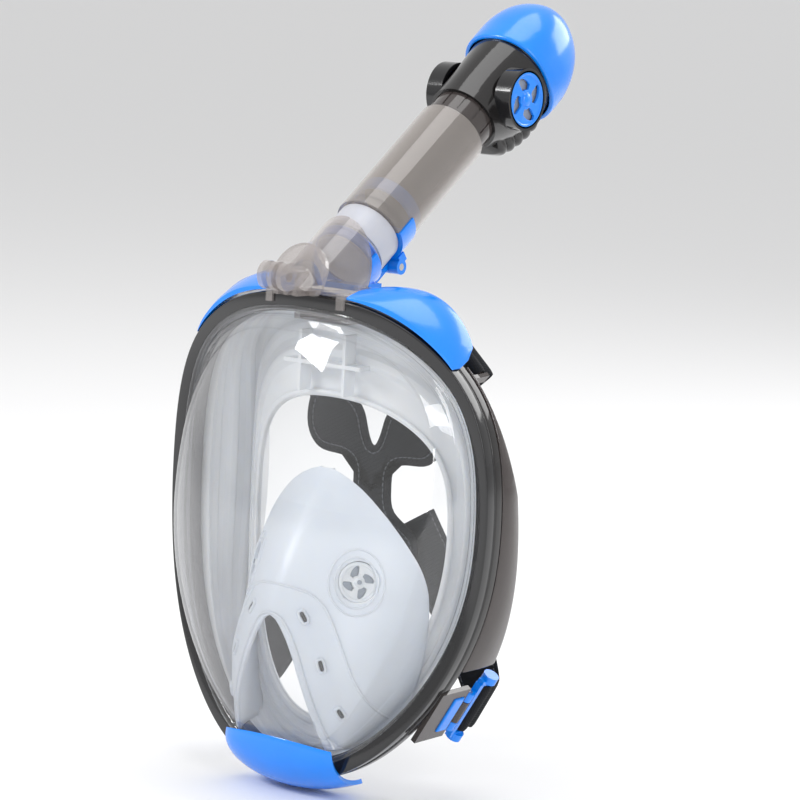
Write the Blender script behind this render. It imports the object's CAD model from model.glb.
import math

import bmesh
import bpy
import numpy as np
from mathutils import Matrix, Vector


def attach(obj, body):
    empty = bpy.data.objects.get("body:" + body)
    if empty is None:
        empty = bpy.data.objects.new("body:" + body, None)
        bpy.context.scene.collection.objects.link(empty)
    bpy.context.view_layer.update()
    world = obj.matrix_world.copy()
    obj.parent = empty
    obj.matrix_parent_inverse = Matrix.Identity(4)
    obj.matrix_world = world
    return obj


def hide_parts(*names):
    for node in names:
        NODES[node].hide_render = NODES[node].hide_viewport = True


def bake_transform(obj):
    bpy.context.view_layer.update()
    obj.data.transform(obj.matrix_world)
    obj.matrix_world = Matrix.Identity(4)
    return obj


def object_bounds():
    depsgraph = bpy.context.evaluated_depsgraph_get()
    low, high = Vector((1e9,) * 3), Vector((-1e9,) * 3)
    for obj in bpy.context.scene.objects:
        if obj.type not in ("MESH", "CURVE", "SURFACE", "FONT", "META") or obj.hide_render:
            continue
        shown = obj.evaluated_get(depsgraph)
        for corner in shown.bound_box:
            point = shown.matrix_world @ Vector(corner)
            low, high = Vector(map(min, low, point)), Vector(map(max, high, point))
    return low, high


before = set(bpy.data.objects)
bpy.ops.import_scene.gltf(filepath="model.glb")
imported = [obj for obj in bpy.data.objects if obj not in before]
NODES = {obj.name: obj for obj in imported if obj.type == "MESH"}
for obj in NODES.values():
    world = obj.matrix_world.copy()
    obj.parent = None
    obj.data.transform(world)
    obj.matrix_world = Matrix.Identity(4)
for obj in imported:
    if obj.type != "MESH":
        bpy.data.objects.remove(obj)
cad_low, cad_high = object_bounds()

# ---------------------------------------------------------------- driving sizes, metres
MM = 0.001
RIM_Y, RIM_R = -35.0, 250.0
SEAL_Y, SEAL_R = -7.0, 110.0
APEX_Y, APEX_Z, DOME_RX, DOME_RZ = -65.0, 15.0, 139.0, 277.0
LEAN = math.radians(54.0)
JOINT_AT = np.array([0.0, 16.6, 181.0])
AROUND = 168

RIM = [(0, 149), (50, 141.5), (91, 111), (107.5, 45), (99.5, -23), (68, -79), (32, -106), (0, -112)]
CREASE = [(0, 129.5), (49, 122.5), (75, 98), (85.4, 50), (78, -9), (60, -49), (33, -84), (0, -97)]
FACE = [(0, 92), (34, 86), (55, 70), (65, 30), (60, -20), (44, -58), (24, -78), (0, -85)]


# ---------------------------------------------------------------- outline maths
def periodic(points, count):
    """Smooth closed curve through the points, sampled evenly in its parameter."""
    p = np.array(points, float)
    n = len(p)
    step = np.linalg.norm(np.roll(p, -1, 0) - p, axis=1)
    knots = np.concatenate([[0], np.cumsum(step)])
    a = np.zeros((n, n))
    rhs = np.zeros((n, 2))
    for i in range(n):
        h0, h1 = step[i - 1], step[i]
        a[i, i - 1] += h0
        a[i, i] += 2 * (h0 + h1)
        a[i, (i + 1) % n] += h1
        rhs[i] = 6 * ((p[(i + 1) % n] - p[i]) / h1 - (p[i] - p[i - 1]) / h0)
    m = np.linalg.solve(a, rhs)
    out = []
    for k in range(count):
        u = k / count * n
        i = int(u) % n
        h = step[i]
        t = (u - int(u)) * h
        j = (i + 1) % n
        left, right = h - t, t
        out.append(
            m[i] * left**3 / (6 * h) + m[j] * right**3 / (6 * h)
            + (p[i] / h - m[i] * h / 6) * left + (p[j] / h - m[j] * h / 6) * right
        )
    return np.array(out)


def closed(half, count=AROUND):
    return periodic(half + [(-x, z) for x, z in reversed(half[1:-1])], count)


def grown(curve, amount):
    """The closed curve moved out along its normals."""
    tangent = np.roll(curve, -1, 0) - np.roll(curve, 1, 0)
    tangent /= np.linalg.norm(tangent, axis=1)[:, None]
    return curve + amount * np.stack([-tangent[:, 1], tangent[:, 0]], 1)


def wrap(x, base=RIM_Y, radius=RIM_R):
    return base + radius - np.sqrt(np.maximum(radius**2 - np.asarray(x) ** 2, 1.0))


def dome(x, z):
    rho = np.sqrt(DOME_RZ**2 - (z - APEX_Z) ** 2) - (DOME_RZ - DOME_RX)
    return APEX_Y + DOME_RX - np.sqrt(np.maximum(rho**2 - x**2, 1.0))


RIM_C, CREASE_C, FACE_C = closed(RIM), closed(CREASE), closed(FACE)


def ring3(curve, y):
    """Closed (x, z) curve with a depth for each point, as 3-D points."""
    y = np.broadcast_to(y, len(curve))
    return np.stack([curve[:, 0], y, curve[:, 1]], 1)


def rim_ring(grow, dy):
    """A ring parallel to the rim: grow outwards, dy behind the wrapped rim face."""
    return ring3(grown(RIM_C, grow), wrap(RIM_C[:, 0]) + dy)


# ---------------------------------------------------------------- mesh building
def mesh(name, verts, faces, body, smooth=40):
    data = bpy.data.meshes.new(name)
    data.from_pydata([tuple(v) for v in np.asarray(verts, float) * MM], [], faces)
    data.validate()
    obj = bpy.data.objects.new(name, data)
    bpy.context.scene.collection.objects.link(obj)
    work = bmesh.new()
    work.from_mesh(data)
    bmesh.ops.remove_doubles(work, verts=work.verts, dist=1e-6)
    bmesh.ops.recalc_face_normals(work, faces=work.faces)
    work.to_mesh(data)
    work.free()
    data.shade_smooth()
    data.set_sharp_from_angle(angle=math.radians(smooth))
    if body:
        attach(obj, body)
    return obj


def strips(rings, around=True, loop=False):
    """Quads between successive rings of points."""
    n = len(rings[0])
    faces = []
    count = len(rings)
    for r in range(count if loop else count - 1):
        for i in range(n if around else n - 1):
            a, b = r * n + i, r * n + (i + 1) % n
            c, d = ((r + 1) % count) * n + (i + 1) % n, ((r + 1) % count) * n + i
            faces.append((a, b, c, d))
    return np.concatenate(rings), faces


def ring_body(name, profile, body="mask", smooth=40, keep=None):
    """Closed section swept round the rim; profile is (grow, dy) pairs, keep picks a stretch."""
    rings = [rim_ring(g, d) for g, d in profile]
    return swept(name, rings, body, smooth, keep)


def swept(name, rings, body="mask", smooth=40, keep=None):
    if keep is not None:
        rings = [r[keep] for r in rings]
    verts, faces = strips(rings, around=keep is None, loop=True)
    if keep is not None:
        n = len(rings[0])
        count = len(rings)
        faces.append([r * n for r in range(count)])
        faces.append([r * n + n - 1 for r in reversed(range(count))])
    return mesh(name, verts, faces, body, smooth)


def rounded(points, radius=0.5, steps=3):
    """Closed section with its corners rounded."""
    pts = [np.array(p, float) for p in points]
    out = []
    for i, p in enumerate(pts):
        a, b = pts[i - 1] - p, pts[(i + 1) % len(pts)] - p
        la, lb = np.linalg.norm(a), np.linalg.norm(b)
        r = min(radius, la * 0.45, lb * 0.45)
        start, end = p + a / la * r, p + b / lb * r
        for k in range(steps + 1):
            t = k / steps
            out.append((1 - t) ** 2 * start + 2 * t * (1 - t) * p + t**2 * end)
    return [tuple(v) for v in out]


def tube_along(name, path, radius, body, sides=10, shut=False):
    """Round cord of plastic along a path."""
    path = np.asarray(path, float)
    n = len(path)
    tangents = np.gradient(path, axis=0) if not shut else np.roll(path, -1, 0) - np.roll(path, 1, 0)
    rings = []
    side = None
    for p, t in zip(path, tangents):
        t = t / np.linalg.norm(t)
        if side is None:
            side = np.cross(t, [0.3, 1, 0.2])
        side = side - t * np.dot(side, t)
        side /= np.linalg.norm(side)
        up = np.cross(t, side)
        rings.append([p + radius * (math.cos(a) * side + math.sin(a) * up)
                      for a in np.linspace(0, 2 * math.pi, sides, endpoint=False)])
    verts, faces = strips(rings, around=True, loop=shut)
    if not shut:
        faces += [list(range(sides)), list(range((n - 1) * sides, n * sides))]
    return mesh(name, verts, faces, body, 60)


def modifier(obj, kind, **values):
    m = obj.modifiers.new(kind.title(), kind)
    for key, value in values.items():
        setattr(m, key, value)
    return m


def apply_all(obj):
    depsgraph = bpy.context.evaluated_depsgraph_get()
    new = bpy.data.meshes.new_from_object(obj.evaluated_get(depsgraph))
    obj.modifiers.clear()
    old = obj.data
    obj.data = new
    bpy.data.meshes.remove(old)


# ---------------------------------------------------------------- materials
def nodes_of(name):
    mat = bpy.data.materials.new(name)
    mat.use_nodes = True
    tree = mat.node_tree
    shader = tree.nodes["Principled BSDF"]
    return mat, tree, shader


def bump(tree, shader, scale, strength, distance=0.0004, kind="NOISE"):
    coord = tree.nodes.new("ShaderNodeTexCoord")
    if kind == "NOISE":
        tex = tree.nodes.new("ShaderNodeTexNoise")
        tex.inputs["Scale"].default_value = scale
        tex.inputs["Detail"].default_value = 4.0
        out = tex.outputs["Fac"]
    node = tree.nodes.new("ShaderNodeBump")
    node.inputs["Strength"].default_value = strength
    node.inputs["Distance"].default_value = distance
    tree.links.new(coord.outputs["Object"], tex.inputs["Vector"])
    tree.links.new(out, node.inputs["Height"])
    tree.links.new(node.outputs["Normal"], shader.inputs["Normal"])
    return tex


def mottle(tree, shader, color, spread, scale):
    """Faint uneven tone over a moulded part, darker in broad patches."""
    coord = tree.nodes.new("ShaderNodeTexCoord")
    noise = tree.nodes.new("ShaderNodeTexNoise")
    noise.inputs["Scale"].default_value = scale
    noise.inputs["Detail"].default_value = 3.0
    mix = tree.nodes.new("ShaderNodeMix")
    mix.data_type = "RGBA"
    low, high = 1 - spread, 1 + spread
    mix.inputs["A"].default_value = (*[min(1.0, c * low) for c in color], 1)
    mix.inputs["B"].default_value = (*[min(1.0, c * high) for c in color], 1)
    tree.links.new(coord.outputs["Object"], noise.inputs["Vector"])
    tree.links.new(noise.outputs["Fac"], mix.inputs["Factor"])
    tree.links.new(mix.outputs["Result"], shader.inputs["Base Color"])


def plastic(name, color, rough=0.25, coat=0.3, scale=900, strength=0.05, specular=0.5):
    mat, tree, s = nodes_of(name)
    mottle(tree, s, color, 0.10, 45)
    s.inputs["Coat Weight"].default_value = coat
    s.inputs["Coat Roughness"].default_value = 0.06
    s.inputs["Specular IOR Level"].default_value = specular
    tex = bump(tree, s, scale, strength)
    vary = tree.nodes.new("ShaderNodeMapRange")
    vary.inputs["To Min"].default_value = rough * 0.85
    vary.inputs["To Max"].default_value = rough * 1.2
    tree.links.new(tex.outputs["Fac"], vary.inputs["Value"])
    tree.links.new(vary.outputs["Result"], s.inputs["Roughness"])
    return mat


def clear(name, tint, body_amount, rough=0.04, edge=0.7, scale=300, haze=0.0, haze_color=(0.9, 0.9, 0.9)):
    """Thin clear plastic: see-through head on, reflecting and denser at grazing angles."""
    mat = bpy.data.materials.new(name)
    mat.use_nodes = True
    tree = mat.node_tree
    tree.nodes.clear()
    out = tree.nodes.new("ShaderNodeOutputMaterial")
    see = tree.nodes.new("ShaderNodeBsdfTransparent")
    see.inputs["Color"].default_value = (*tint, 1)
    dense = tree.nodes.new("ShaderNodeBsdfPrincipled")
    dense.inputs["Base Color"].default_value = (*haze_color, 1)
    dense.inputs["Roughness"].default_value = 0.25
    dense.inputs["Specular IOR Level"].default_value = 0.12
    gloss = tree.nodes.new("ShaderNodeBsdfGlossy")
    gloss.inputs["Color"].default_value = (1, 1, 1, 1)
    gloss.inputs["Roughness"].default_value = rough
    grazing = tree.nodes.new("ShaderNodeLayerWeight")
    grazing.inputs["Blend"].default_value = 0.5
    power = tree.nodes.new("ShaderNodeMath")
    power.operation = "POWER"
    power.inputs[1].default_value = 4.5
    shine = tree.nodes.new("ShaderNodeMapRange")
    shine.inputs["To Min"].default_value = 0.045
    shine.inputs["To Max"].default_value = edge
    facing = tree.nodes.new("ShaderNodeLayerWeight")
    facing.inputs["Blend"].default_value = 0.35
    amount = tree.nodes.new("ShaderNodeMapRange")
    amount.inputs["From Min"].default_value = 0.0
    amount.inputs["From Max"].default_value = 1.0
    amount.inputs["To Min"].default_value = haze
    amount.inputs["To Max"].default_value = min(1.0, haze + body_amount)
    first = tree.nodes.new("ShaderNodeMixShader")
    second = tree.nodes.new("ShaderNodeMixShader")
    coord = tree.nodes.new("ShaderNodeTexCoord")
    noise = tree.nodes.new("ShaderNodeTexNoise")
    noise.inputs["Scale"].default_value = scale
    rough_map = tree.nodes.new("ShaderNodeMapRange")
    rough_map.inputs["To Min"].default_value = rough * 0.6
    rough_map.inputs["To Max"].default_value = rough * 1.5
    link = tree.links.new
    link(coord.outputs["Object"], noise.inputs["Vector"])
    link(noise.outputs["Fac"], rough_map.inputs["Value"])
    link(rough_map.outputs["Result"], gloss.inputs["Roughness"])
    link(facing.outputs["Facing"], amount.inputs["Value"])
    link(amount.outputs["Result"], first.inputs["Fac"])
    link(see.outputs["BSDF"], first.inputs[1])
    link(dense.outputs["BSDF"], first.inputs[2])
    link(grazing.outputs["Facing"], power.inputs[0])
    link(power.outputs["Value"], shine.inputs["Value"])
    link(shine.outputs["Result"], second.inputs["Fac"])
    link(first.outputs["Shader"], second.inputs[1])
    link(gloss.outputs["BSDF"], second.inputs[2])
    link(second.outputs["Shader"], out.inputs["Surface"])
    return mat


def milky(name, color, alpha, rough=0.32, scale=260):
    """Translucent silicone."""
    mat, tree, s = nodes_of(name)
    mottle(tree, s, color, 0.05, 30)
    s.inputs["Roughness"].default_value = rough
    s.inputs["Alpha"].default_value = alpha
    s.inputs["Subsurface Weight"].default_value = 0.35
    s.inputs["Subsurface Radius"].default_value = (0.006, 0.007, 0.009)
    s.inputs["Subsurface Scale"].default_value = 0.6
    s.inputs["Sheen Weight"].default_value = 0.15
    bump(tree, s, scale, 0.06)
    return mat


def woven(name, color):
    """Narrow elastic webbing: fine crossed ribs."""
    mat, tree, s = nodes_of(name)
    s.inputs["Roughness"].default_value = 0.82
    s.inputs["Sheen Weight"].default_value = 0.04
    s.inputs["Specular IOR Level"].default_value = 0.15
    coord = tree.nodes.new("ShaderNodeTexCoord")
    waves = []
    for direction in ("X", "Z"):
        wave = tree.nodes.new("ShaderNodeTexWave")
        wave.bands_direction = direction
        wave.inputs["Scale"].default_value = 420
        wave.inputs["Distortion"].default_value = 0.6
        wave.inputs["Detail"].default_value = 1.0
        tree.links.new(coord.outputs["Object"], wave.inputs["Vector"])
        waves.append(wave)
    mix = tree.nodes.new("ShaderNodeMath")
    mix.operation = "MULTIPLY"
    tree.links.new(waves[0].outputs["Fac"], mix.inputs[0])
    tree.links.new(waves[1].outputs["Fac"], mix.inputs[1])
    node = tree.nodes.new("ShaderNodeBump")
    node.inputs["Strength"].default_value = 0.6
    node.inputs["Distance"].default_value = 0.0005
    tree.links.new(mix.outputs["Value"], node.inputs["Height"])
    tree.links.new(node.outputs["Normal"], s.inputs["Normal"])
    ramp = tree.nodes.new("ShaderNodeMix")
    ramp.data_type = "RGBA"
    ramp.inputs["A"].default_value = (*[c * 0.55 for c in color], 1)
    ramp.inputs["B"].default_value = (*[c * 1.5 for c in color], 1)
    tree.links.new(mix.outputs["Value"], ramp.inputs["Factor"])
    tree.links.new(ramp.outputs["Result"], s.inputs["Base Color"])
    return mat


LENS = clear("lens_clear", (0.96, 0.965, 0.97), 0.50, 0.02, 0.75, haze=0.0, haze_color=(0.30, 0.30, 0.31))
CLEAR = clear("moulded_clear", (0.84, 0.82, 0.81), 0.55, 0.05, 0.75, haze=0.10, haze_color=(0.50, 0.47, 0.46))
SLEEVE = clear("sleeve_clear", (0.80, 0.77, 0.75), 0.50, 0.05, 0.75, haze=0.22, haze_color=(0.40, 0.37, 0.35))
SMOKE = clear("smoke", (0.30, 0.27, 0.26), 0.70, 0.05, 0.6, haze=0.62, haze_color=(0.060, 0.050, 0.048))
DARK = clear("dark_smoke", (0.08, 0.07, 0.07), 0.60, 0.04, 0.45, haze=0.90, haze_color=(0.010, 0.009, 0.009))
BLACK = plastic("gloss_black", (0.008, 0.008, 0.009), 0.12, 0.25)
BLUE = plastic("blue_plastic", (0.0, 0.205, 0.80), 0.22, 0.35)
GASKET = plastic("blue_gasket", (0.05, 0.14, 0.48), 0.4, 0.1)
SILICONE = milky("silicone", (0.90, 0.92, 0.95), 0.86)
CUP = milky("cup_silicone", (0.80, 0.85, 0.94), 0.92)
VALVE = milky("valve_silicone", (0.30, 0.33, 0.37), 0.96)
WHITE = milky("white_plastic", (0.80, 0.83, 0.87), 0.94, 0.35)
COLLAR = milky("collar_plastic", (0.56, 0.57, 0.62), 0.72, 0.3)
STEEL = plastic("steel", (0.60, 0.60, 0.61), 0.25, 0.0, 1500, 0.05)
STEEL.node_tree.nodes["Principled BSDF"].inputs["Metallic"].default_value = 1.0
WEB = woven("webbing", (0.014, 0.015, 0.018))
THREAD = plastic("thread", (0.10, 0.105, 0.115), 0.7, 0.0, 1200, 0.2)

# ---------------------------------------------------------------- lens
def lens_piece():
    """Clear window: flange, raised bead, stepped side wall, crease and doubly curved face, as one shell."""
    rings = [rim_ring(-7.0, 3.3), rim_ring(-3.8, 3.3), rim_ring(-3.5, 2.9), rim_ring(-3.5, 0.3), rim_ring(-3.9, 0.0)]
    rings += [rim_ring(-6.6, 0.0), rim_ring(-7.0, -1.0), rim_ring(-7.4, -1.2), rim_ring(-8.6, -1.2)]
    rings += [rim_ring(-9.0, -1.0), rim_ring(-9.4, 0.2)]
    outer = rim_ring(-10.5, 0.2)
    crease = ring3(CREASE_C, dome(CREASE_C[:, 0], CREASE_C[:, 1]))
    steps = [(0.0, 0.0), (0.10, 0.25), (0.16, 0.9), (0.30, 0.6), (0.34, 0.0), (0.6, -0.25), (0.86, 0.0), (0.95, 0.15)]
    for t, lift in steps:
        ring = outer * (1 - t) + crease * t
        ring[:, 1] -= lift
        rings.append(ring)
    centre = np.array([0.0, 14.0])
    for s in [1.0, 0.985, 0.96, 0.92, 0.86, 0.78, 0.68, 0.57, 0.45, 0.33, 0.21, 0.10]:
        flat = centre + (CREASE_C - centre) * s
        edge = 0.35 if s == 1.0 else 0.0
        rings.append(ring3(flat, dome(flat[:, 0], flat[:, 1]) + edge))
    verts, faces = strips(rings)
    n = AROUND
    faces.append([(len(rings) - 1) * n + i for i in range(n)])
    obj = mesh("lens_shell", verts, faces, "mask", 28)
    modifier(obj, "SOLIDIFY", thickness=0.0018, offset=0.0)
    obj.data.materials.append(LENS)
    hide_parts("lens")


lens_piece()

# ---------------------------------------------------------------- frames
section = rounded([(-6.2, -1.5), (0.4, -1.5), (1.0, -0.8), (1.0, 5.3), (-3.2, 5.3), (-3.2, -0.2), (-6.2, -0.2)], 0.45)
front = ring_body("front_ring", section)
front.data.materials.append(BLACK)
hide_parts("front_frame")

section = rounded([(-9.8, 3.7), (-3.8, 3.7), (-3.8, 5.8), (1.0, 5.8), (1.4, 6.6), (1.4, 11.6), (-0.5, 12.0),
                   (-9.8, 12.0)], 0.6)
rear = ring_body("rear_ring", section)
rear.data.materials.append(DARK)
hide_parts("rear_frame")

gap = ring_body("frame_groove", rounded([(0.2, 5.1), (0.9, 5.1), (0.9, 6.1), (0.2, 6.1)], 0.2))
gap.data.materials.append(BLACK)


def stretch(low, high, side):
    """Indices of the rim samples between two heights on one side, top first."""
    order = range(AROUND // 2 + 1) if side > 0 else [(-i) % AROUND for i in range(AROUND // 2 + 1)]
    return [i for i in order if low <= RIM_C[i, 1] <= high and (i != 0)]


def side_cover(side):
    """Smoky band along the side, widening to the rear towards the chin."""
    name = "side_cover_" + ("right" if side > 0 else "left")
    keep = stretch(-46, 119, side)
    z = RIM_C[:, 1]
    rear_y = np.interp(z, [-48, -26, 6, 52, 92, 121], [25.5, 24.0, 21.0, 16.0, 2.0, -6.5])
    front_y = wrap(RIM_C[:, 0]) + 12.3
    rear_y = np.maximum(rear_y, front_y + 2.0)
    rings = []
    section = [(1.4, 0.0), (1.9, 0.06), (2.1, 0.5), (1.4, 0.90), (0.5, 1.0), (-1.0, 1.0), (-1.6, 0.92), (-1.6, 0.0)]
    for grow, t in section:
        rings.append(ring3(grown(RIM_C, grow), front_y * (1 - t) + rear_y * t))
    obj = swept("cover_" + name[-5:], rings, keep=keep)
    modifier(obj, "BEVEL", width=0.0005, segments=2, limit_method="ANGLE")
    obj.data.materials.append(SMOKE)
    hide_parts(name)


def brow_trim(side):
    """Blue wing over the brow, rising outwards from the frame and tapering to a point."""
    name = "brow_trim_" + ("right" if side > 0 else "left")
    count = 34
    xs = np.linspace(26, 86, count)
    order = np.arange(AROUND // 2)
    top = order[: AROUND // 4 + 12]
    t_of_x = np.interp(xs, RIM_C[top, 0], top)
    rings = []
    u = np.linspace(0, 1, count)
    width = 0.30 + 0.70 * np.sin(np.pi * np.clip(0.10 + 0.66 * u, 0, 1)) ** 0.8
    tip = np.clip((1 - u) / 0.10, 0, 1) ** 0.5
    rise = 2.6 + 10.0 * np.sin(np.pi * np.clip(0.12 + 0.80 * u, 0, 1)) ** 1.2
    for v, lift in [(0, 0.10), (0.01, 0.30), (0.12, 0.48), (0.45, 0.84), (0.80, 1.0), (0.97, 0.95), (1.0, 0.1)]:
        points = []
        for k in range(count):
            i = t_of_x[k]
            a, b = int(i), min(int(i) + 1, AROUND - 1)
            f = i - a
            base = RIM_C[a] * (1 - f) + RIM_C[b] * f
            tangent = RIM_C[b] - RIM_C[a]
            tangent /= np.linalg.norm(tangent)
            normal = np.array([-tangent[1], tangent[0]])
            y0 = wrap(base[0]) - 0.6
            y1 = y0 + (3.5 - y0) * width[k] * (0.35 + 0.65 * tip[k])
            p = base + normal * (1.5 + rise[k] * lift * (0.25 + 0.75 * tip[k]))
            points.append([side * p[0], y0 * (1 - v) + y1 * v, p[1]])
        rings.append(np.array(points))
    verts, faces = strips(rings, around=False, loop=True)
    n = count
    faces.append([r * n for r in range(len(rings))])
    faces.append([r * n + n - 1 for r in reversed(range(len(rings)))])
    obj = mesh("trim_" + name[-5:], verts, faces, "mask", 55)
    modifier(obj, "BEVEL", width=0.0006, segments=3, limit_method="ANGLE", angle_limit=math.radians(35))
    obj.data.materials.append(BLUE)
    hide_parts(name)


for side in (1, -1):
    side_cover(side)
    brow_trim(side)


# ---------------------------------------------------------------- silicone skirt
def seal_y(x):
    return wrap(x, SEAL_Y, SEAL_R)


def skirt_piece():
    """Silicone skirt: ribbed outer wall, ridged seal face and a rolled lip round the face opening."""
    rings = []
    shrink = lambda y: 6.0 - (y + 50) * 31.0 / 102.0
    start = wrap(RIM_C[:, 0]) + 12.1
    for t, rib in [(0, -6.5), (0, -1.0), (0.0, 0.0), (0.10, 0.0), (0.12, -2.2), (0.20, -2.2), (0.22, 0.0),
                   (0.36, 0.0), (0.38, -2.4), (0.46, -2.4), (0.48, 0.0), (0.64, 0.0), (0.66, -2.2), (0.74, -2.2),
                   (0.76, 0.0), (0.92, -0.3), (1.0, -2.0)]:
        flat = RIM_C * 1.0
        end = seal_y(np.clip(grown(RIM_C, -14)[:, 0], -98, 98)) - 1.0
        y = start * (1 - t) + end * t
        normal_in = grown(RIM_C, 1.0) - RIM_C
        flat = RIM_C + normal_in * (shrink(y) + rib)[:, None]
        rings.append(ring3(flat, y))
    edge = rings[-1][:, [0, 2]]
    for t, ridge in [(0.06, 0.0), (0.14, 0.4), (0.17, 4.0), (0.26, 4.0), (0.29, 0.2), (0.42, 0.1), (0.45, 3.4),
                     (0.54, 3.4), (0.57, 0.1), (0.8, 0.0), (0.90, 0.3), (0.96, 0.9), (0.99, 0.4), (1.0, -0.6)]:
        flat = edge * (1 - t) + FACE_C * t
        rings.append(ring3(flat, seal_y(flat[:, 0]) - ridge))
    flat = grown(FACE_C, 0.8)
    rings.append(ring3(flat, seal_y(flat[:, 0]) - 3.0))
    flat = grown(FACE_C, 4.0)
    rings.append(ring3(flat, seal_y(flat[:, 0]) - 3.6))
    verts, faces = strips(rings)
    obj = mesh("skirt_shell", verts, faces, "mask", 50)
    modifier(obj, "SOLIDIFY", thickness=0.0018, offset=0.0)
    modifier(obj, "SUBSURF", levels=1, render_levels=1)
    obj.data.materials.append(SILICONE)
    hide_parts("skirt")


skirt_piece()


# ---------------------------------------------------------------- nose cup
CUP_Z = [-92, -75, -60, -40, -20, 0, 14, 28, 40, 47, 52, 54]
CUP_W = [44, 52, 57, 60, 61, 59, 51, 41, 30, 21, 11, 4]
CUP_F = [-45, -50, -53, -54.5, -54.5, -48, -41, -32, -23, -17, -13, -11]


def cup_width(z):
    return np.interp(z, CUP_Z, CUP_W)


def smooth_interp(z, xs, ys):
    total = 0.0
    reach = np.clip((54 - np.asarray(z)) * 0.5, 0.3, 9)
    for share in (-1, -0.5, 0, 0.5, 1):
        total += np.interp(z + share * reach, xs, ys)
    return total / 5


def cup_y(x, z):
    """Depth of the cup's outer face."""
    w = smooth_interp(z, CUP_Z, CUP_W)
    f = smooth_interp(z, CUP_Z, CUP_F)
    back = seal_y(np.minimum(w, 64.0)) - 4.2
    t = np.clip(np.abs(x) / w, 0, 1)
    soft = (np.sqrt(t**2 + 0.02) - 0.1414) / 0.8686
    share = np.interp(z, [-92, -50, -16], [0.03, 0.12, 0.36])
    power = np.interp(z, [-92, -50, -16], [5.0, 3.4, 2.1])
    return f + (back - f) * (share * soft + (1 - share) * t**power)


def arch_point(t, offset=0.0):
    """Point (x, z) of the arch, t from the left foot (-1) over the crown (0) to the right foot (1)."""
    d = 1e-3
    span = []
    for q in (t - d, t + d):
        span.append(np.array([math.copysign(30.0 * (abs(q) + 0.002) ** 0.62, q), -21.0 - 71.0 * abs(q) ** 1.05]))
    here = (span[0] + span[1]) / 2
    along = span[1] - span[0]
    along /= np.linalg.norm(along)
    return here + offset * np.array([-along[1], along[0]])


def cup_piece():
    """Nose cup, with the arch and both valve holes cut through it."""
    rows, cols = 90, 96
    verts, faces = [], []
    zs = -92 + 146 * np.sin(np.linspace(0, 1, rows) * math.pi / 2) ** 0.9
    for z in zs:
        w = smooth_interp(z, CUP_Z, CUP_W)
        for u in np.linspace(-1, 1, cols):
            x = w * math.sin(u * math.pi / 2) * 0.5 + w * u * 0.5
            verts.append((x, float(cup_y(x, z)), z))
    for r in range(rows - 1):
        for c in range(cols - 1):
            a = r * cols + c
            faces.append((a, a + 1, a + cols + 1, a + cols))
    obj = mesh("cup_shell", verts, faces, "mask", 60)
    facing = sum(face.normal.y for face in obj.data.polygons)
    modifier(obj, "SOLIDIFY", thickness=0.0019, offset=-1.0 if facing < 0 else 1.0)
    apply_all(obj)
    outline = [(30.0, -99.0)] + [tuple(arch_point(t)) for t in np.linspace(1, -1, 61)] + [(-30.0, -99.0)]
    front = [(x, -75.0, z) for x, z in outline]
    back = [(x, -8.0, z) for x, z in outline]
    n = len(outline)
    sides = [(i, (i + 1) % n, n + (i + 1) % n, n + i) for i in range(n)]
    cutter = mesh("arch_cutter", front + back, sides + [list(range(n)), list(range(2 * n - 1, n - 1, -1))], "mask")
    carve(obj, cutter)
    for side in (1, -1):
        cutter = valve_ring("valve_cutter", side, [(0.01, -9), (11.3, -9), (11.3, 9), (0.01, 9)])
        carve(obj, cutter)
    obj.data.shade_smooth()
    obj.data.materials.append(CUP)
    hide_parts("nose_cup")


def carve(obj, cutter):
    m = modifier(obj, "BOOLEAN", operation="DIFFERENCE", object=cutter)
    m.solver = "EXACT"
    apply_all(obj)
    data = cutter.data
    bpy.data.objects.remove(cutter)
    bpy.data.meshes.remove(data)


VALVE_AT = np.array([35.0, -23.2, -2.0])
VALVE_DIR = np.array([0.79, -0.57, 0.21])
VALVE_DIR = VALVE_DIR / np.linalg.norm(VALVE_DIR)
VALVE_U = np.array([0.57, 0.79, 0.0])
VALVE_U = VALVE_U / np.linalg.norm(VALVE_U)
VALVE_V = np.cross(VALVE_DIR, VALVE_U)


def valve_ring(name, side, section, count=72):
    """Closed section of (radius, height) pairs turned about the valve axis."""
    rings = []
    for radius, height in section:
        a = np.linspace(0, 2 * np.pi, count, endpoint=False)[:, None]
        p = VALVE_AT + radius * (np.cos(a) * VALVE_U + np.sin(a) * VALVE_V) + height * VALVE_DIR
        p[:, 0] *= side
        rings.append(p)
    verts, faces = strips(rings, around=True, loop=True)
    return mesh(name, verts, faces, "mask", 40)


cup_piece()
for side in (1, -1):
    for k, (radius, size) in enumerate([(13.6, 0.6), (17.6, 0.55)]):
        a = np.linspace(0, 2 * np.pi, 96, endpoint=False)[:, None]
        ring = VALVE_AT + radius * (np.cos(a) * VALVE_U + np.sin(a) * VALVE_V)
        ring[:, 1] = cup_y(np.abs(ring[:, 0]), ring[:, 2]) - 0.2
        ring[:, 0] *= side
        bead = tube_along(f"cup_ring_{k}_{'R' if side > 0 else 'L'}", ring, size, "mask", 8, shut=True)
        bead.data.materials.append(CUP)
for k, (offset, size, reach) in enumerate([(3.4, 0.85, 1.0), (22.0, 0.7, 0.86)]):
    path = []
    for t in np.linspace(-reach, reach, 110):
        x, z = arch_point(t, offset)
        if z > -91.5 and abs(x) < cup_width(z) - 1.5:
            path.append((x, float(cup_y(x, z)) - 0.1, z))
    smooth = np.array(path)
    for _ in range(6):
        smooth[1:-1] = (smooth[:-2] + 2 * smooth[1:-1] + smooth[2:]) / 4
    smooth[:, 1] = cup_y(smooth[:, 0], smooth[:, 2]) - 0.1
    bead = tube_along(f"arch_bead_{k}", smooth, size, "mask", 8)
    bead.data.materials.append(CUP)


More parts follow.
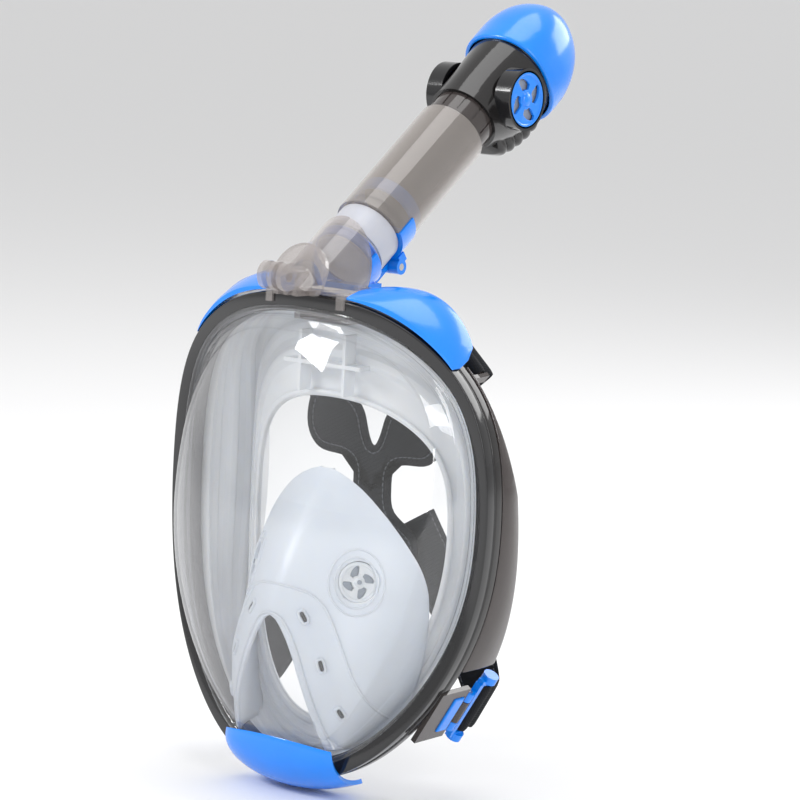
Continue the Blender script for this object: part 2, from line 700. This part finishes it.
def slot_frame(name, t):
    """Raised oblong eyelet with a dark slot between the two beads."""
    x, z = arch_point(t, 12.5)
    ahead = arch_point(t + 0.02, 12.5)
    y = float(cup_y(x, z))
    along = np.array([ahead[0] - x, float(cup_y(*ahead)) - y, ahead[1] - z])
    along /= np.linalg.norm(along)
    gx = (cup_y(x + 1, z) - cup_y(x - 1, z)) / 2
    gz = (cup_y(x, z + 1) - cup_y(x, z - 1)) / 2
    normal = np.array([gx, -1.0, gz])
    normal /= np.linalg.norm(normal)
    across = np.cross(normal, along)
    rings = []
    bead = [(4.6, 2.8, -0.6), (4.2, 2.4, 1.1), (3.5, 1.7, 1.4), (3.0, 1.2, 1.0), (2.9, 1.1, 0.55)]
    for half_l, half_w, lift in bead:
        ring = []
        for a in np.linspace(0, 2 * np.pi, 28, endpoint=False):
            c, q = math.cos(a), math.sin(a)
            u = half_l * math.copysign(abs(c) ** 0.6, c)
            v = half_w * math.copysign(abs(q) ** 0.6, q)
            ring.append(np.array([x, y, z]) + u * along + v * across + lift * normal)
        rings.append(ring)
    verts, faces = strips(rings)
    obj = mesh(name, verts, faces, "mask", 50)
    obj.data.materials.append(CUP)
    floor_ring = [p + 0.1 * normal for p in rings[-1]]
    dark = mesh(name + "_slot", floor_ring, [list(range(28))], "mask", 50)
    modifier(dark, "SOLIDIFY", thickness=0.0003)
    dark.data.materials.append(BLACK)


for k, t in enumerate((0.10, 0.42, 0.76, -0.10, -0.42, -0.76)):
    slot_frame(f"cup_eyelet_{k}", t)


# ---------------------------------------------------------------- valves in the cup
def teardrop(radius, count=4, size=0.26, hub=0.30):
    """Comma-shaped openings round a hub, as closed outlines in the disc plane."""
    holes = []
    for k in range(count):
        left, right = [], []
        for i in range(15):
            q = i / 14
            angle = 2 * math.pi * k / count + math.radians(-10 + 62 * q)
            r = radius * (0.60 - (0.60 - hub) * 0.55 * q**1.3)
            head = math.sqrt(max(0.0, 1 - (1 - min(1.0, q / 0.28)) ** 2))
            width = radius * size * head * (1 - 0.80 * max(0.0, q - 0.2))
            left.append(((r + width) * math.cos(angle), (r + width) * math.sin(angle)))
            right.append(((r - width) * math.cos(angle), (r - width) * math.sin(angle)))
        holes.append(left[1:] + right[::-1][:-1])
    return holes


def swirl_disc(name, place, u, v, n, radius, thick, body, finish, node, side=1, hub_pin=1.9):
    """Moulded disc with a raised rim, four comma-shaped openings and a hub."""
    place, u, v, n = (np.array(q, float) for q in (place, u, v, n))
    profile = [(0.02, 0.0), (radius - 0.5, 0.0), (radius, 0.5), (radius, thick), (radius - 0.5, thick + 0.5),
               (radius * 0.86, thick + 0.5), (radius * 0.82, thick), (hub_pin + 0.6, thick), (hub_pin, thick + 0.9),
               (hub_pin - 0.6, thick + 1.3), (0.02, thick + 1.4)]
    rings = []
    for r, h in profile:
        rings.append([place + r * (math.cos(a) * u + math.sin(a) * v) + h * n
                      for a in np.linspace(0, 2 * np.pi, 72, endpoint=False)])
    flip = np.array([side, 1.0, 1.0])
    verts, faces = strips(rings, around=True, loop=True)
    obj = mesh(name, np.array(verts) * flip, faces, body, 35)
    for hole in teardrop(radius * 0.98):
        low = [place + x * u + y * v - 2.0 * n for x, y in hole]
        high = [place + x * u + y * v + (thick + 3.0) * n for x, y in hole]
        c = len(hole)
        sides = [(i, (i + 1) % c, c + (i + 1) % c, c + i) for i in range(c)]
        cutter = mesh("hole_cutter", np.array(low + high) * flip,
                      sides + [list(range(c)), list(range(2 * c - 1, c - 1, -1))], body)
        carve(obj, cutter)
    modifier(obj, "BEVEL", width=0.00025, segments=2, limit_method="ANGLE", angle_limit=math.radians(50))
    obj.data.materials.append(finish)
    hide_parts(node)


for side in (1, -1):
    tag = "right" if side > 0 else "left"
    swirl_disc("valve_seat_" + tag, VALVE_AT - 2.2 * VALVE_DIR, VALVE_U, VALVE_V, VALVE_DIR, 11.0, 2.2, "mask", WHITE,
               "inhale_seat_" + tag, side)


# ---------------------------------------------------------------- tube frame helpers
TUBE_X = np.array([1.0, 0.0, 0.0])
TUBE_Y = np.array([0.0, math.cos(LEAN), -math.sin(LEAN)])
TUBE_Z = np.array([0.0, math.sin(LEAN), math.cos(LEAN)])


def tube_point(x, y, s):
    return JOINT_AT + x * TUBE_X + y * TUBE_Y + s * TUBE_Z


def turned(name, sections, body, smooth=40, loop=True, count=96, power=2.0):
    """Body turned about the tube axis; sections are (rx, ry, s, shift) rings."""
    rings = []
    for rx, ry, s, shift in sections:
        a = np.linspace(0, 2 * np.pi, count, endpoint=False)
        c, q = np.cos(a), np.sin(a)
        reach = (np.abs(c) ** power + np.abs(q) ** power) ** (-1 / power)
        rings.append(np.array([tube_point(rx * x, ry * y + shift, s) for x, y in zip(c * reach, q * reach)]))
    verts, faces = strips(rings, around=True, loop=loop)
    return mesh(name, verts, faces, body, smooth)


for side in (1, -1):
    tag = "right" if side > 0 else "left"
    disc_at = tube_point(26.6, 2.0, 123.5)
    swirl_disc("exhale_vanes_" + tag, disc_at, TUBE_Z, TUBE_Y, TUBE_X, 16.6, 1.5, "snorkel", BLUE,
               "exhale_grille_" + tag, side, 3.4)


def top_cap():
    """Blue domed cap: straight skirt, rolled lower lip and a smooth crown."""
    out = [(27.0, 29.6, 146.2, 7.0), (27.6, 30.2, 146.6, 7.0), (27.8, 30.4, 147.6, 7.0), (28.0, 30.5, 153.0, 7.1)]
    for k in range(1, 24):
        t = k / 23 * math.pi / 2
        r = math.cos(t) ** 0.80
        out.append((28.1 * r, 30.5 * r, 158.0 + 38.4 * math.sin(t) ** 1.06, 7.2 - 2.2 * math.sin(t)))
    out = [o for o in out if o[0] > 0.5]
    inner = [(rx - 1.8, ry - 1.8, s - 1.8, sh) for rx, ry, s, sh in reversed(out) if rx > 3 and s > 150]
    out.append((0.01, 0.01, 196.4, 5.0))
    inner.insert(0, (0.01, 0.01, 194.6, 5.0))
    inner += [(25.6, 28.2, 146.2, 7.0)]
    obj = turned("cap_dome", out + inner, "snorkel", 50, loop=True, power=2.25)
    obj.data.materials.append(BLUE)
    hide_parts("top_cap")


top_cap()


def louvres():
    """Rear air intake: a bulging cover with five rounded knuckles."""
    count = 5
    pitch = 7.9
    first = 105.6
    rows = []
    for s in np.linspace(first, first + count * pitch, count * 16 + 1):
        knuckle = abs(math.sin(math.pi * (s - first) / pitch)) ** 0.5
        swell = math.sin(math.pi * np.clip((s - first) / (count * pitch), 0.03, 0.97)) ** 0.35
        base = 19.0 + (s - first) * 0.20
        top = 28.0 + (s - first) * 0.20 + 4.6 * swell * knuckle + 2.0 * swell
        half = 11.5 + 1.8 * knuckle
        row = []
        for a in np.linspace(0, math.pi, 25):
            c, q = math.cos(a), math.sin(a)
            x = half * math.copysign(abs(c) ** 0.55, c)
            row.append(tube_point(x, base + (top - base) * q**0.55, s))
        rows.append(np.array(row))
    verts, faces = strips(rows, around=False)
    n = 25
    faces.append(list(range(n)))
    faces.append([(len(rows) - 1) * n + i for i in reversed(range(n))])
    for r in range(len(rows) - 1):
        faces.append((r * n, r * n + n - 1, (r + 1) * n + n - 1, (r + 1) * n))
    obj = mesh("louvre_cover", verts, faces, "snorkel", 50)
    obj.data.materials.append(DARK)
    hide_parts("louvre_cage")


louvres()


# ---------------------------------------------------------------- CAD pieces kept: finishes only
FINISH = {
    BLACK: ["exhale_ring_left", "exhale_ring_right"],
    SMOKE: ["strap_lug_left", "strap_lug_right", "upper_lug_left", "upper_lug_right", "snorkel_tube"],
    DARK: ["dry_top_housing"],
    CLEAR: ["snorkel_socket", "camera_mount", "frame_clips"],
    SLEEVE: ["lower_sleeve"],
    BLUE: ["buckle_left", "buckle_right", "buckle_button_left", "buckle_button_right", "hinge_leaf", "hinge_block",
           "tube_collar"],
    GASKET: ["socket_gasket"],
    SILICONE: ["air_guide"],
    VALVE: ["drain_flap", "exhale_flap_left", "exhale_flap_right", "float_seal", "inhale_flap_left",
            "inhale_flap_right"],
    WHITE: ["drain_seat", "float_block", "float_seat"],
    COLLAR: ["joint_collar"],
    STEEL: ["buckle_pin_left", "buckle_pin_right", "hinge_pin"],
}
for finish, names in FINISH.items():
    for name in names:
        obj = bpy.data.objects[name]
        obj.data.materials.clear()
        obj.data.materials.append(finish)


# ---------------------------------------------------------------- chin cap
def chin_cap():
    """Blue bumper round the chin: a curved shell that wraps under the frame."""
    profile = [(0, 0.0, 0.0), (0.1, 0.4, -0.18), (0.4, 1.0, -3.0), (0.0, 0.9, -9.0), (-2.0, 1.3, -15.0),
               (-6.0, 1.6, -21.5), (-12.0, 1.9, -27.0), (-20.0, 2.0, -30.8), (-29.0, 2.0, -32.4), (-37.0, 2.0, -32.8)]
    count = 61
    rows = []
    for i, (back_y, swell, drop) in enumerate(profile):
        row = []
        for u in np.linspace(-1, 1, count):
            end = 1 - abs(u) ** 9
            x = 36.0 * u * (1 + 0.015 * i) * (1 - 0.035 * (i / 9) ** 3 * 4)
            top_z = -88.0 - 3.2 * u * u
            top_y = float(dome(x, -88.0)) - 3.6
            bottom = 1 - 0.30 * abs(u) ** 2.2
            y = top_y - back_y * 0.92 - swell * end * 0.6 + (1 - end) * 1.2
            row.append((x, min(y, -11.2) if i > 6 else y, max(top_z + drop * bottom, -120.6)))
        rows.append(np.array(row))
    verts, faces = strips(rows, around=False)
    obj = mesh("chin_bumper", verts, faces, "mask", 40)
    facing = sum(face.normal.y for face in obj.data.polygons)
    modifier(obj, "SOLIDIFY", thickness=0.0026, offset=-1.0 if facing < 0 else 1.0)
    modifier(obj, "BEVEL", width=0.0008, segments=3, limit_method="ANGLE", angle_limit=math.radians(50))
    modifier(obj, "SUBSURF", levels=1, render_levels=1)
    obj.data.materials.append(BLUE)
    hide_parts("chin_cap")


chin_cap()

# ---------------------------------------------------------------- headgear
STRAP_T = 1.8
STRAP_PLANE = 33.9


def station(x, z, nx, nz):
    size = math.hypot(nx, nz)
    return (np.array([x, 0.0, z]), np.array([nz / size, 0, -nx / size]), np.array([nx / size, 0, nz / size]))


def at(place, y, z):
    origin, _, out = place
    return origin + np.array([0.0, y, 0.0]) + z * out


UPPER = station(73.4, 126.5, 0.66, 0.75)
LOWER = station(78.0, -69.5, 0.855, -0.518)


def hermite(points, steps):
    """Smooth path through a few points, with its parameter."""
    p = np.array(points, float)
    out = []
    for i in range(len(p) - 1):
        a, b = p[i], p[i + 1]
        ta = (p[i + 1] - p[i - 1]) / 2 if i else b - a
        tb = (p[i + 2] - p[i]) / 2 if i + 2 < len(p) else b - a
        for k in range(steps + (i == len(p) - 2)):
            t = k / steps
            out.append((2 * t**3 - 3 * t**2 + 1) * a + (t**3 - 2 * t**2 + t) * ta
                       + (3 * t**2 - 2 * t**3) * b + (t**3 - t**2) * tb)
    return np.array(out)


def web_mesh(side, sections, width, bar, place, steps=14, cols=15):
    """Webbing strip lofted through (centre, across, normal) sections, with a sewn loop round its bar."""
    centre = hermite([s[0] for s in sections], steps)
    across = hermite([s[1] for s in sections], steps)
    normal = hermite([s[2] for s in sections], steps)
    turn = []
    radius = 2.0 + STRAP_T / 2
    origin = at(place, *bar)
    out = place[2]
    for a in np.linspace(-0.25 * math.pi, 1.75 * math.pi, 26)[:-1]:
        c = origin + radius * (-math.cos(a) * np.array([0.0, -1.0, 0.0]) + math.sin(a) * out)
        n = (c - origin) / radius
        turn.append((c, place[1], n))
    verts, faces = [], []
    path = list(zip(centre, across, normal))
    for strip in (path, turn):
        base = len(verts)
        rows = len(strip)
        for c, x, n in strip:
            x = x / np.linalg.norm(x)
            n = n / np.linalg.norm(n)
            for top in (1, -1):
                for k in range(cols):
                    u = k / (cols - 1) * 2 - 1
                    edge = math.sqrt(max(0.0, 1 - u**8))
                    p = c + x * u * width / 2 + n * top * STRAP_T / 2 * (0.35 + 0.65 * edge)
                    verts.append((side * p[0], p[1], p[2]))
        per = 2 * cols
        for r in range(rows - 1):
            for k in range(cols - 1):
                a = base + r * per + k
                faces.append((a, a + 1, a + per + 1, a + per))
                b = a + cols
                faces.append((b, b + per, b + per + 1, b + 1))
            for k in (0, cols - 1):
                a = base + r * per + k
                faces.append((a, a + per, a + per + cols, a + cols))
        for r in (0, rows - 1):
            for k in range(cols - 1):
                a = base + r * per + k
                faces.append((a, a + 1, a + cols + 1, a + cols))
    length = float(np.linalg.norm(np.diff(centre, axis=0), axis=1).sum())
    return verts, faces, path, length


def stitches(name, path, side, offset, body, lift, stride=3.2, skip=0.0):
    """Running stitch along a webbing path at a distance across it."""
    points, normals = [], []
    for c, x, n in path:
        points.append(c + x / np.linalg.norm(x) * offset)
        normals.append(n / np.linalg.norm(n))
    points, normals = np.array(points), np.array(normals)
    d = np.concatenate([[0], np.cumsum(np.linalg.norm(np.diff(points, axis=0), axis=1))])
    verts, faces = [], []
    s = skip
    while s + stride * 0.7 < d[-1]:
        ends = []
        for t in np.linspace(s, s + stride * 0.68, 5):
            p = np.array([np.interp(t, d, points[:, i]) for i in range(3)])
            n = np.array([np.interp(t, d, normals[:, i]) for i in range(3)])
            f = (t - s) / (stride * 0.68)
            ends.append(p + n * (lift * (STRAP_T / 2 + 0.28 * math.sin(math.pi * f) - 0.05)))
        along = ends[-1] - ends[0]
        along /= np.linalg.norm(along)
        wide = np.cross(along, n)
        base = len(verts)
        for p in ends:
            for a in range(6):
                q = p + 0.34 * (math.cos(a * math.pi / 3) * wide + math.sin(a * math.pi / 3) * n)
                verts.append((side * q[0], q[1], q[2]))
        for r in range(4):
            for a in range(6):
                faces.append((base + r * 6 + a, base + r * 6 + (a + 1) % 6, base + r * 6 + 6 + (a + 1) % 6,
                              base + r * 6 + 6 + a))
        faces.append([base + a for a in range(6)])
        faces.append([base + 24 + a for a in range(6)])
        s += stride
    obj = mesh(name, verts, faces, body, 60)
    obj.data.materials.append(THREAD)
    return obj


def upper_strap(side):
    up_t, up_n = UPPER[1], UPPER[2]
    sections = [
        (at(UPPER, 12.4, -2.5), up_t, up_n),
        (at(UPPER, 22, -5), up_t, up_n),
        (np.array([46, 33.8, 106]), np.array([0.80, 0.0, -0.60]), np.array([0.0, 1.0, 0.0])),
        (np.array([26, STRAP_PLANE, 78]), np.array([0.93, 0.0, -0.36]), np.array([0.0, 1.0, 0.0])),
    ]
    tag = "right" if side > 0 else "left"
    verts, faces, path, length = web_mesh(side, sections, 34, (8.5, -2.5), UPPER)
    obj = mesh("upper_web_" + tag, verts, faces, "mask", 50)
    obj.data.materials.append(WEB)
    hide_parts("upper_strap_" + tag)
    for k, offset in enumerate((-14.6, 14.6)):
        stitches(f"upper_stitch_{tag}_{k}", path, side, offset, "mask", -1)
    return obj, length


def lower_strap(side):
    low_t, low_n = LOWER[1], LOWER[2]
    sections = [
        (at(LOWER, 31.4, 0), low_t, low_n),
        (at(LOWER, 42, -3), low_t, low_n),
        (np.array([58, 44, -34]), np.array([-0.74, 0.0, -0.67]), np.array([0.0, 1.0, 0.0])),
        (np.array([44, 36.8, -6]), np.array([-0.80, 0.0, -0.60]), np.array([0.0, 1.0, 0.0])),
        (np.array([26, 34.2, 24]), np.array([-0.86, 0.0, -0.50]), np.array([0.0, 1.0, 0.0])),
    ]
    tag = "right" if side > 0 else "left"
    verts, faces, path, length = web_mesh(side, sections, 32, (27.5, 0), LOWER)
    pieces = [mesh("lower_web_" + tag, verts, faces, None, 50)]
    pieces[0].data.materials.append(WEB)
    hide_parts("lower_strap_" + tag)
    for k, offset in enumerate((-13.4, 13.4)):
        pieces.append(stitches(f"lower_stitch_{tag}_{k}", path, side, offset, None, -1))
    for piece in pieces:
        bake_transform(piece)
    return pieces[0], length


PAD = [(0, 62), (4, 68), (8, 80), (16, 88), (30, 91), (43, 88), (47, 78), (45, 63), (38, 56), (24, 54), (15, 51),
       (13, 40), (15, 28), (26, 20), (34, 10), (30, -2), (16, -6), (0, -7)]


def back_pad():
    """Soft joining pad: crowned panel with a bound edge and a stitched border."""
    count = 132
    curve = closed(PAD, count)
    rings = []
    for inset, depth in [(1.1, 2.4), (0.2, 1.9), (0.0, 1.2), (0.2, 0.5), (1.1, 0.05), (3.2, -0.05), (3.8, 0.3),
                         (6.0, 0.05), (8.5, -0.1), (11, -0.12)]:
        flat = grown(curve, -inset)
        rings.append(ring3(flat, 29.2 + depth))
    centre = np.array([0.0, 34.0])
    inner = grown(curve, -11)
    for s in (0.7, 0.4, 0.15):
        rings.append(ring3(centre + (inner - centre) * s, 29.05))
    verts, faces = strips(rings)
    n = count
    faces.append([(len(rings) - 1) * n + i for i in range(n)])
    faces.append([i for i in reversed(range(n))])
    obj = mesh("joining_pad", verts, faces, "mask", 60)
    obj.data.materials.append(WEB)
    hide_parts("back_pad")
    edge = grown(curve, -4.6)
    path = [(np.array([p[0], 29.1, p[1]]), np.array([1.0, 0, 0]), np.array([0, -1.0, 0])) for p in
            np.vstack([edge, edge[:1]])]
    path = [(c + np.array([0, 0.9, 0]), x, n) for c, x, n in path]
    stitches("pad_stitch", path, 1, 0.0, "mask", 1)
    return obj


for side in (1, -1):
    tag = "right" if side > 0 else "left"
    piece, length = upper_strap(side)
    piece, length = lower_strap(side)
back_pad()

# ---------------------------------------------------------------- studio
FLOOR_Z = cad_low[2] - 0.0005


def floor():
    data = bpy.data.meshes.new("floor")
    w = 300.0  # wide enough that its edge stays below the horizon
    data.from_pydata([(-w, -w, FLOOR_Z), (w, -w, FLOOR_Z), (w, w, FLOOR_Z), (-w, w, FLOOR_Z)], [], [(0, 1, 2, 3)])
    obj = bpy.data.objects.new("floor", data)
    bpy.context.scene.collection.objects.link(obj)
    mat, tree, s = nodes_of("floor_paper")
    s.inputs["Base Color"].default_value = (0.82, 0.82, 0.825, 1)
    s.inputs["Roughness"].default_value = 0.65
    obj.data.materials.append(mat)


def lamp(name, place, target, size, power):
    light = bpy.data.lights.new(name, "AREA")
    light.shape = "RECTANGLE"
    light.size, light.size_y = size
    light.energy = power
    obj = bpy.data.objects.new(name, light)
    bpy.context.scene.collection.objects.link(obj)
    obj.location = place
    obj.rotation_euler = (Vector(target) - Vector(place)).to_track_quat("-Z", "Y").to_euler()


floor()
lamp("key", (-0.9, -1.5, 1.3), (0, 0, 0.05), (0.7, 0.5), 24)
lamp("fill", (1.7, -0.9, 0.7), (0, 0, 0.05), (0.4, 1.4), 12)
lamp("top", (0.1, 0.3, 1.9), (0, 0, 0.05), (1.2, 1.2), 12)
lamp("rim", (0.5, 1.5, 0.9), (0, 0, 0.1), (1.2, 0.8), 12)
world = bpy.data.worlds.new("studio")
bpy.context.scene.world = world
world.use_nodes = True
world.node_tree.nodes["Background"].inputs["Color"].default_value = (1, 1, 1, 1)
world.node_tree.nodes["Background"].inputs["Strength"].default_value = 0.78

bpy.context.scene.view_settings.view_transform = "Standard"
view = bpy.data.cameras.new("camera")
view.lens = 149.85
view.sensor_width = 36.0
camera = bpy.data.objects.new("camera", view)
bpy.context.scene.collection.objects.link(camera)
right = Vector((0.79316, 0.60707, 0.0486))
up = Vector((-0.12703, 0.08687, 0.98809))
back = Vector((0.59562, -0.78988, 0.14601))
turn = Matrix((right, up, back)).transposed().to_4x4()
camera.matrix_world = Matrix.Translation((1.09603, -1.40155, 0.35389)) @ turn
bpy.context.scene.camera = camera
